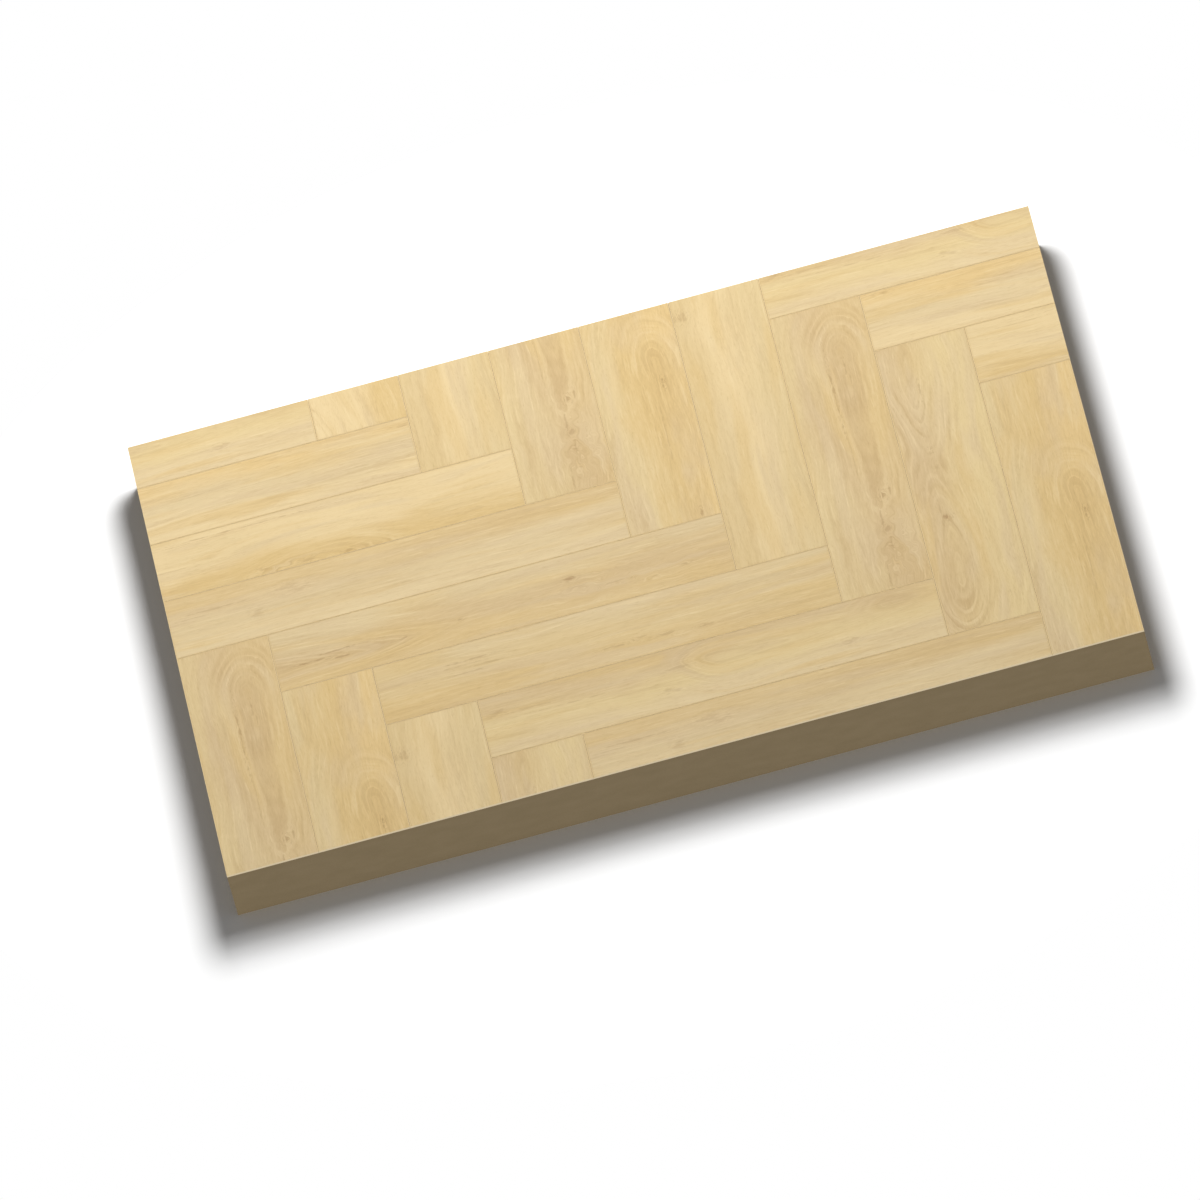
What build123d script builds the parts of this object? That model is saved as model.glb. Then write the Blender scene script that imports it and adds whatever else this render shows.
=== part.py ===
"""Herringbone vinyl floor board: bevelled oak-look planks glued to a one-piece base board.

The board lies face up. The origin is the centre of its underside, +X runs along its long side,
+Y towards its back edge and +Z out of the face. All sizes are in millimetres.

The planks lie in pairs: a lengthwise one along X, and a crosswise one along Y that its end butts
against. Each pair is one row further to the front and one column further to the right than the
last, which makes a zigzag, and the next zigzag lies one plank's length to the right and to the
back. The lay runs on past the base board, and the planks at the rim are sawn off flush with it.
So a sawn edge is square, and only a factory edge has a bevel.
"""

import os
from dataclasses import dataclass
from itertools import product
from math import ceil

from build123d import *

# A whole plank, as it is sold, is as long as this many columns are wide, so that the rows line up
PLANK_WIDTH = 122.0
PLANK_THICKNESS = 2.5
PLANK_COLUMNS = 5

# The micro bevel round a plank's face, and the hairline left between two planks
BEVEL_WIDTH = 1.0
BEVEL_DEPTH = 0.5
JOINT_GAP = 0.2

# What is laid: whole columns from rim to rim, and whole rows between two sawn ones at the rims
COLUMNS = 10
WHOLE_ROWS = 6
FIRST_ROW_DEPTH = 90.0
LAST_ROW_DEPTH = 93.0

# The row, counted from the back, that starts with a whole plank at the left rim
START_ROW = 4

BASE_THICKNESS = 65.0

# A strip at the rim that would be narrower than this isn't laid
NARROWEST_STRIP = 3.0

# The sizes that follow from the planks and from how many are laid
PLANK_LENGTH = PLANK_COLUMNS * PLANK_WIDTH
BASE_LENGTH = COLUMNS * PLANK_WIDTH
BASE_WIDTH = FIRST_ROW_DEPTH + WHOLE_ROWS * PLANK_WIDTH + LAST_ROW_DEPTH
LEFT_RIM = -BASE_LENGTH / 2
BACK_RIM = BASE_WIDTH / 2

LENGTHWISE = "lengthwise"
CROSSWISE = "crosswise"


@dataclass(frozen=True)
class Place:
    """Where one whole plank lies before it is sawn: its zigzag, run and row, and its four sides."""

    zigzag: int
    run: str
    row: int
    left: float
    right: float
    front: float
    back: float

    @property
    def name(self):
        """The plank's name: its zigzag, as main or as so many in front or behind, its run and its row."""
        side = "front" if self.zigzag < 0 else "back"
        zigzag = f"{side}{abs(self.zigzag)}" if self.zigzag else "main"
        return f"plank_{zigzag}_{self.run}_{self.row:02d}"

    @property
    def centre(self):
        """The middle of the whole plank."""
        return ((self.left + self.right) / 2, (self.front + self.back) / 2)

    @property
    def size(self):
        """The whole plank's size along X and Y, with half a joint left free on each side."""
        return (self.right - self.left - JOINT_GAP, self.back - self.front - JOINT_GAP)

    @property
    def on_the_board(self):
        """Whether enough of the plank lies on the base board for it to be laid."""
        across = min(self.right, -LEFT_RIM) - max(self.left, LEFT_RIM)
        along = min(self.back, BACK_RIM) - max(self.front, -BACK_RIM)
        return min(across, along) > NARROWEST_STRIP


def pair(zigzag, row):
    """The two places of a pair: the lengthwise plank, and the crosswise one at its right end."""
    left = LEFT_RIM + (row - START_ROW) * PLANK_WIDTH + zigzag * PLANK_LENGTH
    front = BACK_RIM - FIRST_ROW_DEPTH - (row - 1) * PLANK_WIDTH + zigzag * PLANK_LENGTH
    right = left + PLANK_LENGTH
    return [
        Place(zigzag, LENGTHWISE, row, left, right, front, front + PLANK_WIDTH),
        Place(zigzag, CROSSWISE, row, right, right + PLANK_WIDTH, front, front + PLANK_LENGTH),
    ]


def lay():
    """Every place that meets the base board, zigzag by zigzag and row by row."""
    steps = START_ROW + COLUMNS + WHOLE_ROWS
    reach = ceil(steps / PLANK_COLUMNS)
    numbers = product(range(-reach, reach + 1), range(1, steps + 1))
    places = [place for zigzag, row in numbers for place in pair(zigzag, row)]
    return [place for place in places if place.on_the_board]


def base_board():
    """The one-piece board that carries the planks and shows at the sides."""
    with BuildPart() as board:
        with BuildSketch(Plane.XY):
            Rectangle(BASE_LENGTH, BASE_WIDTH)
        extrude(amount=BASE_THICKNESS)
    return board.part


def plank(place):
    """One plank: bevelled round its face, seated on the base board and sawn flush with its rim."""
    seat = Plane.XY.offset(BASE_THICKNESS)
    with BuildPart() as piece:
        with BuildSketch(seat):
            with Locations(place.centre):
                Rectangle(*place.size)
        extrude(amount=PLANK_THICKNESS)
        face = piece.faces().sort_by(Axis.Z)[-1]
        chamfer(face.edges(), length=BEVEL_WIDTH, length2=BEVEL_DEPTH, reference=face)
        with BuildSketch(seat):
            Rectangle(BASE_LENGTH, BASE_WIDTH)
        extrude(amount=PLANK_THICKNESS, mode=Mode.INTERSECT)
    return piece.part


def write(piece, name):
    """Labels a finished piece with its name and writes its file."""
    piece.label = name
    export_step(piece, f"parts/{name}.step")


def main():
    """Builds the base board and then each plank of the lay."""
    os.makedirs("parts", exist_ok=True)
    write(base_board(), "base_board")
    for place in lay():
        write(plank(place), place.name)


main()
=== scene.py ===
"""Dresses the herringbone floor board: oak-look vinyl planks on a brown fibre board, on a white floor.

Every solid of the frame keeps its shape. Each plank gets a printed oak picture of its own, drawn in
the plank's own coordinates, so that a sawn plank shows the part of the picture that the saw left.
"""

import logging
import math
from dataclasses import dataclass, field
from enum import Enum

import bmesh
import bpy
from mathutils import Matrix, Vector


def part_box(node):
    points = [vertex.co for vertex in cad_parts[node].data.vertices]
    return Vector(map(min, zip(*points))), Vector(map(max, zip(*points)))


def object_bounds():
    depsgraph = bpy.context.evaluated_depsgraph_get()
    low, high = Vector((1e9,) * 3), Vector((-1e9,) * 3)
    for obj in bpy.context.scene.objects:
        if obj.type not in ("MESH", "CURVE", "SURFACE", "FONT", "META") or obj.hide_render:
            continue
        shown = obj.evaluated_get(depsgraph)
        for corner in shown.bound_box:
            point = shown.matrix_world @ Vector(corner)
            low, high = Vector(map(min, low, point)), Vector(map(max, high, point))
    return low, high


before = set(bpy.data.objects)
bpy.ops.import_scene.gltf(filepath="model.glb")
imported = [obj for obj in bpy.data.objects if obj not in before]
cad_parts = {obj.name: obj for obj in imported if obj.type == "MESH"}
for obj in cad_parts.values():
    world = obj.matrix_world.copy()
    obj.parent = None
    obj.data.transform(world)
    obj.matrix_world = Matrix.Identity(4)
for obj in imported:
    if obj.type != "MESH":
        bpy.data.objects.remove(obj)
CAD_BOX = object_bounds()

LOG = logging.getLogger("floor_board")

Colour = tuple[float, float, float, float]
Point = tuple[float, float]
Socket = bpy.types.NodeSocket

WHITE = (1.0, 1.0, 1.0, 1.0)
ORIGIN = (0.0, 0.0, 0.0)

# The curve from a paint code's numbers to linear light: straight near black, and a power above
STRAIGHT_UP_TO, STRAIGHT_SLOPE = 0.04045, 12.92
POWER_OFFSET, POWER = 0.055, 2.4


def paint(code: str) -> Colour:
    """Turns a paint code into the linear colour that a shader's socket holds.

    Args:
        code: Red, green and blue as six hexadecimal digits.

    Returns:
        The colour with full alpha.
    """
    linear = []
    for start in (0, 2, 4):
        part = int(code[start:start + 2], 16) / 255
        bent = ((part + POWER_OFFSET) / (1 + POWER_OFFSET)) ** POWER
        linear.append(part / STRAIGHT_SLOPE if part <= STRAIGHT_UP_TO else bent)
    return (*linear, 1.0)


class OakTone(Enum):
    """The tones that the printed oak is mixed from."""

    CREAM = paint("EBD19D")
    PALE = paint("E6CE9F")
    STRAW = paint("E6CD96")
    HONEY = paint("E6C78B")
    SAND = paint("E2C995")
    OAT = paint("E0C899")
    WHEAT = paint("E0C58F")
    GOLD = paint("E0C184")
    ASH = paint("DDC499")
    TAN = paint("DDC08A")
    BISCUIT = paint("D9BD8C")


class Value:
    """A value that changes over the surface. Formulas with it add Math nodes to its tree."""

    def __init__(self, work: "Tree", socket: Socket) -> None:
        """Takes the value's tree and the output socket that gives it.

        Args:
            work: The tree.
            socket: The output socket.
        """
        self.work = work
        self.socket = socket

    def __add__(self, other: object) -> "Value":
        """Adds the two."""
        return self.work.math("ADD", self, other)

    def __sub__(self, other: object) -> "Value":
        """Takes the other from this one."""
        return self.work.math("SUBTRACT", self, other)

    def __rsub__(self, other: object) -> "Value":
        """Takes this one from a number."""
        return self.work.math("SUBTRACT", other, self)

    def __mul__(self, other: object) -> "Value":
        """Multiplies the two."""
        return self.work.math("MULTIPLY", self, other)

    def __pow__(self, other: object) -> "Value":
        """Raises this one to a power."""
        return self.work.math("POWER", self, other)

    def __abs__(self) -> "Value":
        """Takes the sign away."""
        return self.work.math("ABSOLUTE", self)


Values = dict[str, Value]


class Tree:
    """A node tree under construction, with one short call for each kind of node the finishes use."""

    def __init__(self, tree: bpy.types.NodeTree) -> None:
        """Takes the tree to build in.

        Args:
            tree: A material's or a group's empty node tree.
        """
        self.tree = tree

    def node(self, kind: str, **settings: object) -> bpy.types.Node:
        """Adds a node and sets its properties.

        Args:
            kind: The node's type name.
            settings: The node's own properties by name.

        Returns:
            The new node.
        """
        made = self.tree.nodes.new(kind)
        for name, value in settings.items():
            setattr(made, name, value)
        return made

    def feed(self, socket: Socket, value: object) -> None:
        """Links an output to a socket, or sets the socket's own value.

        Args:
            socket: The input to feed.
            value: A value, an output socket, or a constant.
        """
        source = value.socket if isinstance(value, Value) else value
        if isinstance(source, Socket):
            self.tree.links.new(source, socket)
        else:
            socket.default_value = source

    def fill(self, node: bpy.types.Node, values: dict[str | int, object]) -> None:
        """Feeds several inputs of a node.

        Args:
            node: The node.
            values: What each input gets, by its name or number.
        """
        for key, value in values.items():
            self.feed(node.inputs[key], value)

    def values(self, node: bpy.types.Node) -> Values:
        """Finds what a node gives, by the names of its outputs."""
        return {socket.name: Value(self, socket) for socket in node.outputs}

    def math(self, operation: str, *values: object, clamp: bool = False) -> Value:
        """Adds a Math node.

        Args:
            operation: The node's operation.
            values: Its inputs in order.
            clamp: Whether the result is kept between 0 and 1.

        Returns:
            The result.
        """
        made = self.node("ShaderNodeMath", operation=operation, use_clamp=clamp)
        self.fill(made, dict(enumerate(values)))
        return Value(self, made.outputs[0])

    def vector(self, operation: str, *values: object) -> Value:
        """Adds a Vector Math node.

        Args:
            operation: The node's operation.
            values: Its inputs in order.

        Returns:
            The result: a number for a length or a dot product, and otherwise a vector.
        """
        made = self.node("ShaderNodeVectorMath", operation=operation)
        self.fill(made, dict(enumerate(values)))
        number = operation in ("LENGTH", "DOT_PRODUCT")
        return Value(self, made.outputs["Value" if number else "Vector"])

    def combine(self, x: object, y: object, z: object = 0.0) -> Value:
        """Joins three values into a vector.

        Args:
            x: The first value.
            y: The second value.
            z: The third value.

        Returns:
            The vector.
        """
        made = self.node("ShaderNodeCombineXYZ")
        self.fill(made, {"X": x, "Y": y, "Z": z})
        return Value(self, made.outputs[0])

    def split(self, vector: object) -> tuple[Value, ...]:
        """Splits a vector.

        Args:
            vector: The vector.

        Returns:
            Its three parts.
        """
        made = self.node("ShaderNodeSeparateXYZ")
        self.feed(made.inputs[0], vector)
        return tuple(self.values(made).values())

    def mix(self, share: object, first: object, second: object) -> Value:
        """Mixes two colours.

        Args:
            share: How much of the second colour is used.
            first: The first colour.
            second: The second colour.

        Returns:
            The mixed colour.
        """
        made = self.node("ShaderNodeMix", data_type="RGBA")
        self.fill(made, {0: share, 6: first, 7: second})
        return Value(self, made.outputs[2])

    def blend(self, share: object, first: object, second: object) -> Value:
        """Mixes two numbers.

        Args:
            share: How much of the second number is used.
            first: The first number.
            second: The second number.

        Returns:
            The mixed number.
        """
        made = self.node("ShaderNodeMix", data_type="FLOAT")
        self.fill(made, {0: share, 2: first, 3: second})
        return Value(self, made.outputs[0])

    def between(self, value: object, low: object, high: object, out: Point = (0.0, 1.0)) -> Value:
        """Eases a value from one range into another.

        Args:
            value: The value to map.
            low: Where the range starts.
            high: Where it ends.
            out: What the result is at the start and at the end.

        Returns:
            The eased value.
        """
        made = self.node("ShaderNodeMapRange", interpolation_type="SMOOTHSTEP")
        self.fill(made, dict(enumerate((value, low, high, *out))))
        return Value(self, made.outputs[0])

    def noise(self, at: object, detail: float = 2.0, rough: float = 0.5, scale: float = 1.0) -> Value:
        """Adds a Noise Texture.

        Args:
            at: The coordinates.
            detail: How many finer layers are added.
            rough: How strong the finer layers are.
            scale: How many cells lie in one unit.

        Returns:
            The noise, about 0.5 on average.
        """
        made = self.node("ShaderNodeTexNoise", noise_dimensions="3D")
        self.fill(made, {"Vector": at, "Scale": scale, "Detail": detail, "Roughness": rough})
        return Value(self, made.outputs[0])

    def ripple(self, at: object, detail: float, rough: float = 0.5) -> Value:
        """Adds a noise that is about 0 on average, with one cell in one unit."""
        return self.noise(at, detail, rough) - 0.5

    def surface(self, colour: Value, rough: Value, specular: float, height: Value, depth: float) -> None:
        """Adds a plain shader with a bump, and the material's output.

        Args:
            colour: The base colour.
            rough: The roughness.
            specular: The specular level.
            height: The height of the bump.
            depth: How deep a height of 1 is, in metres.
        """
        bump = self.node("ShaderNodeBump")
        self.fill(bump, {"Strength": 1.0, "Distance": depth, "Height": height})
        shader = self.node("ShaderNodeBsdfPrincipled")
        self.fill(shader, {"Base Color": colour, "Roughness": rough, "Specular IOR Level": specular})
        self.feed(shader.inputs["Normal"], bump.outputs[0])
        self.feed(self.node("ShaderNodeOutputMaterial").inputs["Surface"], shader.outputs[0])


def new_material(name: str) -> tuple[bpy.types.Material, Tree]:
    """Makes an empty material.

    Args:
        name: The material's name.

    Returns:
        The material, and its tree to build in.
    """
    made = bpy.data.materials.new(name)
    made.use_nodes = True
    made.node_tree.nodes.clear()
    return made, Tree(made.node_tree)


class Effect:
    """A shader node group that several finishes share. It is built once, on its first use."""

    title = ""
    takes: dict[str, object] = {}
    gives: dict[str, str] = {}
    built: dict[str, bpy.types.NodeTree] = {}

    @classmethod
    def tree(cls) -> bpy.types.NodeTree:
        """Builds the group, or finds it once it is built.

        Returns:
            The group's tree.
        """
        if cls.title not in Effect.built:
            made = bpy.data.node_groups.new(cls.title, "ShaderNodeTree")
            for name, default in cls.takes.items():
                kind = "Float" if isinstance(default, float) else {3: "Vector", 4: "Color"}[len(default)]
                socket = made.interface.new_socket(name, in_out="INPUT", socket_type=f"NodeSocket{kind}")
                socket.default_value = default
            for name, kind in cls.gives.items():
                made.interface.new_socket(name, in_out="OUTPUT", socket_type=f"NodeSocket{kind}")
            work = Tree(made)
            takes = work.values(work.node("NodeGroupInput"))
            work.fill(work.node("NodeGroupOutput"), cls.build(work, takes))
            Effect.built[cls.title] = made
        return Effect.built[cls.title]

    @classmethod
    def add(cls, work: Tree, **values: object) -> Values:
        """Places the group in a tree.

        Args:
            work: The tree.
            values: The group's inputs, with an underscore for each space of a name.

        Returns:
            The group's outputs by name.
        """
        made = work.node("ShaderNodeGroup", node_tree=cls.tree())
        work.fill(made, {name.replace("_", " "): value for name, value in values.items()})
        return work.values(made)

    @classmethod
    def build(cls, work: Tree, takes: Values) -> Values:
        """Builds the group's nodes.

        Args:
            work: The tree to build in.
            takes: The group's inputs by name.

        Returns:
            Its outputs by name.
        """
        raise NotImplementedError


def fade(work: Tree, scaled: Value) -> Value:
    """Fades from 1 in an oval's middle towards 0 well outside it.

    Args:
        work: The tree to build in.
        scaled: The way from the middle, in parts of the oval's reach.

    Returns:
        The fading value.
    """
    return work.math("EXPONENT", work.vector("DOT_PRODUCT", scaled, scaled) * -1.0)


@dataclass(frozen=True)
class Lines:
    """A layer of noise that is drawn out into lines along the plank.

    Attributes:
        across: How many lines lie in one plank width.
        along: How many times a line changes in one plank width.
        share: How much the layer adds, which is under 0 where it takes away.
        detail: How many finer layers are added.
        rough: How strong the finer layers are.
    """

    across: float
    along: float
    share: float = 1.0
    detail: float = 2.0
    rough: float = 0.5


def draw(work: Tree, takes: Values, lines: Lines) -> Value:
    """Draws one layer of lines straight over the plank.

    Args:
        work: The tree to build in.
        takes: The group's inputs by name.
        lines: The layer.

    Returns:
        The layer, centred on 0.
    """
    along, across, _ = work.split(takes["Place"])
    at = work.combine(along * lines.along, across * lines.across, takes["Seed"])
    return work.ripple(at, lines.detail, lines.rough)


class GrainCurl(Effect):
    """A curl in the grain: the lines eddy from side to side within an oval."""

    title = "oak_grain_curl"
    takes = {"Place": ORIGIN, "Middle": ORIGIN, "Reach": (0.5, 0.2, 1.0), "Swing": 0.05, "Eddies": 4.0}
    gives = {"Place": "Vector"}

    # An eddy is this many times longer than it is wide
    slenderness = 1.8
    # The depth in the noise and the strength of the push along the plank, and of the one across it
    pushes = ((0.0, 7.0), (7.0, 4.0))

    @classmethod
    def build(cls, work: Tree, takes: Values) -> Values:
        """Builds the curl: two noises push the lines about, and fade out from the oval's middle.

        Args:
            work: The tree to build in.
            takes: The group's inputs by name.

        Returns:
            The group's outputs by name.
        """
        along, across, _ = work.split(takes["Place"])
        away = work.vector("SUBTRACT", takes["Place"], takes["Middle"])
        near = fade(work, work.vector("DIVIDE", away, takes["Reach"])) * takes["Swing"]
        pushed = []
        for depth, strength in cls.pushes:
            at = work.combine(along * takes["Eddies"], across * takes["Eddies"] * cls.slenderness, depth)
            pushed.append(work.ripple(at, 1.0) * strength * near)
        return {"Place": work.vector("ADD", takes["Place"], work.combine(*pushed))}


class GrainField(Effect):
    """How far a point of the print is from the heart of the tree, in plank widths.

    Lines of one distance are the grain. Far from the heart they run straight along the plank. Over
    it they close into arches, as fast as the heart rises or sinks under the plank's face.
    """

    title = "oak_grain_field"
    takes = {
        "Place": ORIGIN,
        "Seed": 0.0,
        "Heart": (2.5, -1.0, 0.0),
        "Start Rise": 0.1,
        "End Rise": 0.1,
        "Point": 2.0,
        "Wander": 0.1,
        "Fill": 0.0,
        "Width": 0.14,
        "Other Field": 10.0,
        "Other Tip": 0.0,
        "Other Fill": 0.0,
        "Other Far": 1.0,
    }
    gives = {"Field": "Float", "Tip": "Float", "Fill": "Float", "Far": "Float", "Straight": "Float"}

    # How deep the heart sinks before the grain counts as straight, and how gently it gets there
    deepest = 0.38
    levelling = 0.12
    # Where the arches start to fade, where their tips end and where the grain is all straight, in
    # parts of that depth
    levels = (0.8, 1.4, 1.3)
    # How softly the grain of two hearts joins
    joining = 0.05
    # The two layers that bend the grain, and how far the bend moves it along the plank
    slow = Lines(0.9, 0.45, detail=1.5)
    quick = Lines(6.0, 2.6, 0.14, 3.0, 0.6)
    bend_ahead = 0.9
    # Where the inner tone is full, in plank widths from the heart
    fill_up_to = 0.03
    # Keeps the distance above 0, where a power of it is steep
    least = 0.0001

    @classmethod
    def build(cls, work: Tree, takes: Values) -> Values:
        """Builds the distance, the arches' tips and inner tone, and where the grain is straight.

        Args:
            work: The tree to build in.
            takes: The group's inputs by name.

        Returns:
            The group's outputs by name.
        """
        along, across, _ = work.split(takes["Place"])
        bend = draw(work, takes, cls.quick) * cls.quick.share + draw(work, takes, cls.slow)
        heart_along, heart_across, _ = work.split(takes["Heart"])
        straight = bend * takes["Wander"] + across
        ahead = bend * cls.bend_ahead + along - heart_along
        past = work.math("GREATER_THAN", ahead, 0.0)
        slope = past * (takes["End Rise"] - takes["Start Rise"]) + takes["Start Rise"]
        sunk = abs(ahead * slope)
        rise = work.math("SMOOTH_MIN", sunk, cls.deepest, cls.levelling)
        total = abs(straight - heart_across) ** takes["Point"] + abs(rise) ** takes["Point"] + cls.least
        distance = total ** work.math("DIVIDE", 1.0, takes["Point"])
        starts, tip_ends, far_ends = (share * cls.deepest for share in cls.levels)
        steep = work.between(sunk, tip_ends, starts)
        tip = work.math("DIVIDE", rise, distance, clamp=True) * steep
        far = work.between(sunk, starts, far_ends)
        inside = work.between(distance, takes["Width"], cls.fill_up_to)
        nearer = work.math("LESS_THAN", distance, takes["Other Field"])
        return {
            "Field": work.math("SMOOTH_MIN", distance, takes["Other Field"], cls.joining),
            "Tip": work.blend(nearer, takes["Other Tip"], tip),
            "Fill": inside * takes["Fill"] + takes["Other Fill"],
            "Far": work.math("MINIMUM", far, takes["Other Far"]),
            "Straight": straight,
        }


class TornGrain(Effect):
    """A fine noise, drawn out along the plank, that frays the rims of knots and streaks."""

    title = "oak_torn_grain"
    takes = {"Place": ORIGIN, "Seed": 0.0}
    gives = {"Torn": "Float"}
    fibres = Lines(24.0, 7.0, detail=3.0, rough=0.65)

    @classmethod
    def build(cls, work: Tree, takes: Values) -> Values:
        """Builds the noise, centred on 0."""
        return {"Torn": draw(work, takes, cls.fibres)}


class GrainMark(Effect):
    """A knot, an eye or a streak: it pushes the grain aside and has a darker heart."""

    title = "oak_grain_mark"
    takes = {
        "Place": ORIGIN,
        "Torn": 0.0,
        "Field": 0.0,
        "Middle": ORIGIN,
        "Reach": (0.1, 0.05, 1.0),
        "Push": 0.0,
        "Dark": 0.5,
        "Shade": 0.0,
    }
    gives = {"Field": "Float", "Shade": "Float"}

    # All in parts of the mark's reach: how far the torn grain frays the rim, where the core starts
    # and where it is full, where the line lies, and how far from there it starts and is full
    fray = 3.2
    core = (0.8, 0.1)
    line_middle = 1.2
    line = (0.24, 0.02, (0.0, 0.5))
    # The torn grain at which the line starts to break, and at which it is whole
    broken = (-0.04, 0.1)

    @classmethod
    def build(cls, work: Tree, takes: Values) -> Values:
        """Builds the mark: a ragged core, and a broken line that curls round it.

        Args:
            work: The tree to build in.
            takes: The group's inputs by name.

        Returns:
            The group's outputs by name.
        """
        away = work.vector("SUBTRACT", takes["Place"], takes["Middle"])
        scaled = work.vector("DIVIDE", away, takes["Reach"])
        torn = takes["Torn"] * cls.fray + work.vector("LENGTH", scaled)
        line = work.between(abs(torn - cls.line_middle), *cls.line)
        dark = line * work.between(takes["Torn"], *cls.broken) + work.between(torn, *cls.core)
        return {
            "Field": fade(work, scaled) * takes["Push"] + takes["Field"],
            "Shade": dark * takes["Dark"] + takes["Shade"],
        }


class OakFigure(Effect):
    """The lines that follow the grain: broad bands, growth rings, streaks, dashes and pores."""

    title = "oak_figure"
    takes = {
        "Place": ORIGIN,
        "Field": 0.0,
        "Tip": 0.0,
        "Straight": 0.0,
        "Far": 0.0,
        "Seed": 0.0,
        "Rings": 15.0,
        "Ring Strength": 0.5,
        "Calm": 0.1,
    }
    gives = {"Shade": "Float", "Warmth": "Float", "Pores": "Float", "Relief": "Float"}

    warmth = Lines(3.6, 0.4)
    bands = Lines(7.0, 0.5, 1.2)
    streaks = Lines(26.0, 1.6, 0.8)
    dashes = Lines(45.0, 4.0, 0.55)
    fibres = Lines(110.0, 11.0, 0.8)
    pores = Lines(150.0, 13.0, detail=1.0)
    pale_streaks = Lines(34.0, 1.6, -0.4, 1.0)
    pale_dashes = Lines(60.0, 4.0, -0.34, 1.0)
    worn = Lines(5.0, 1.6, detail=1.0)
    # The heights of a layer at which a pale line, a pore and a worn ring start to show and are full
    pale_range = (0.09, 0.24)
    pore_range = (0.1, 0.24)
    worn_range = (-0.2, 0.12)
    # The same for a ring's pale line and its dark one, each with its shade outside and inside the line
    pale_ring = (0.2, 1.0, (0.25, -0.55))
    dark_ring = (0.3, 1.0, (0.0, 0.65))
    # How much of a ring shows only at the arches' tips
    tip_share = 0.65
    # Where the rings end, in plank widths from the heart, and where they are full
    rings_end = (0.5, 0.3)
    # Where they start to show near the heart, in parts of the calm middle
    calm_start = 0.3
    # How far the bands and the streaks move the rings, in rings
    unevenness = (2.2, 0.9)
    # How far a ring's dark line lies beside its pale one, as an angle of the ring's wave
    beside = 1.9
    # How high the fibres stand in the relief, and how deep the pores are
    depths = (0.6, 0.7)

    @classmethod
    def straight(cls, work: Tree, takes: Values, lines: Lines, over: str = "Straight") -> Value:
        """Draws one layer of lines that follow the grain.

        Args:
            work: The tree to build in.
            takes: The group's inputs by name.
            lines: The layer.
            over: The input that gives the grain.

        Returns:
            The layer, centred on 0.
        """
        place, _, _ = work.split(takes["Place"])
        at = work.combine(takes[over] * lines.across, place * lines.along, takes["Seed"])
        return work.ripple(at, lines.detail)

    @classmethod
    def arched(cls, work: Tree, takes: Values, lines: Lines) -> Value:
        """Draws one layer of lines that arch round the hearts, and run straight far from them.

        Args:
            work: The tree to build in.
            takes: The group's inputs by name.
            lines: The layer.

        Returns:
            The layer, centred on 0.
        """
        round_hearts = cls.straight(work, takes, lines, "Field")
        return work.blend(takes["Far"], round_hearts, cls.straight(work, takes, lines))

    @classmethod
    def rings(cls, work: Tree, takes: Values, uneven: Value) -> Value:
        """Draws the growth rings: a pale line with a dark one beside it, strongest at the arches' tips.

        Args:
            work: The tree to build in.
            takes: The group's inputs by name.
            uneven: How far the rings are moved, in rings.

        Returns:
            The rings' shade.
        """
        turns = (takes["Field"] * takes["Rings"] + uneven) * math.tau
        pale = work.between(work.math("SINE", turns), *cls.pale_ring)
        dark = work.between(work.math("SINE", turns + cls.beside), *cls.dark_ring)
        visible = work.between(cls.straight(work, takes, cls.worn), *cls.worn_range)
        closing = takes["Tip"] ** 2.0 * cls.tip_share + (1.0 - cls.tip_share)
        outside = work.between(takes["Field"], takes["Calm"] * cls.calm_start, takes["Calm"])
        near = work.between(takes["Field"], *cls.rings_end) * outside * (1.0 - takes["Far"])
        return (pale + dark) * visible * (closing * near) * takes["Ring Strength"]

    @classmethod
    def build(cls, work: Tree, takes: Values) -> Values:
        """Builds the layers and adds them up: a shade and a warmth about 0, the pores and the relief.

        Args:
            work: The tree to build in.
            takes: The group's inputs by name.

        Returns:
            The group's outputs by name.
        """
        bands, streaks = (cls.arched(work, takes, lines) for lines in (cls.bands, cls.streaks))
        dashes, fibres = (cls.straight(work, takes, lines) for lines in (cls.dashes, cls.fibres))
        pores = work.between(cls.straight(work, takes, cls.pores), *cls.pore_range)
        pale_streaks = work.between(cls.arched(work, takes, cls.pale_streaks), *cls.pale_range)
        pale_dashes = work.between(cls.straight(work, takes, cls.pale_dashes), *cls.pale_range)
        by_bands, by_streaks = cls.unevenness
        shade = cls.rings(work, takes, bands * by_bands + streaks * by_streaks)
        for layer, lines in (
            (bands, cls.bands),
            (streaks, cls.streaks),
            (dashes, cls.dashes),
            (fibres, cls.fibres),
            (pale_streaks, cls.pale_streaks),
            (pale_dashes, cls.pale_dashes),
        ):
            shade = shade + layer * lines.share
        warmth = cls.arched(work, takes, cls.warmth)
        fibre_depth, pore_depth = cls.depths
        relief = fibres * fibre_depth - pores * pore_depth
        return {"Shade": shade, "Warmth": warmth, "Pores": pores, "Relief": relief}


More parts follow.
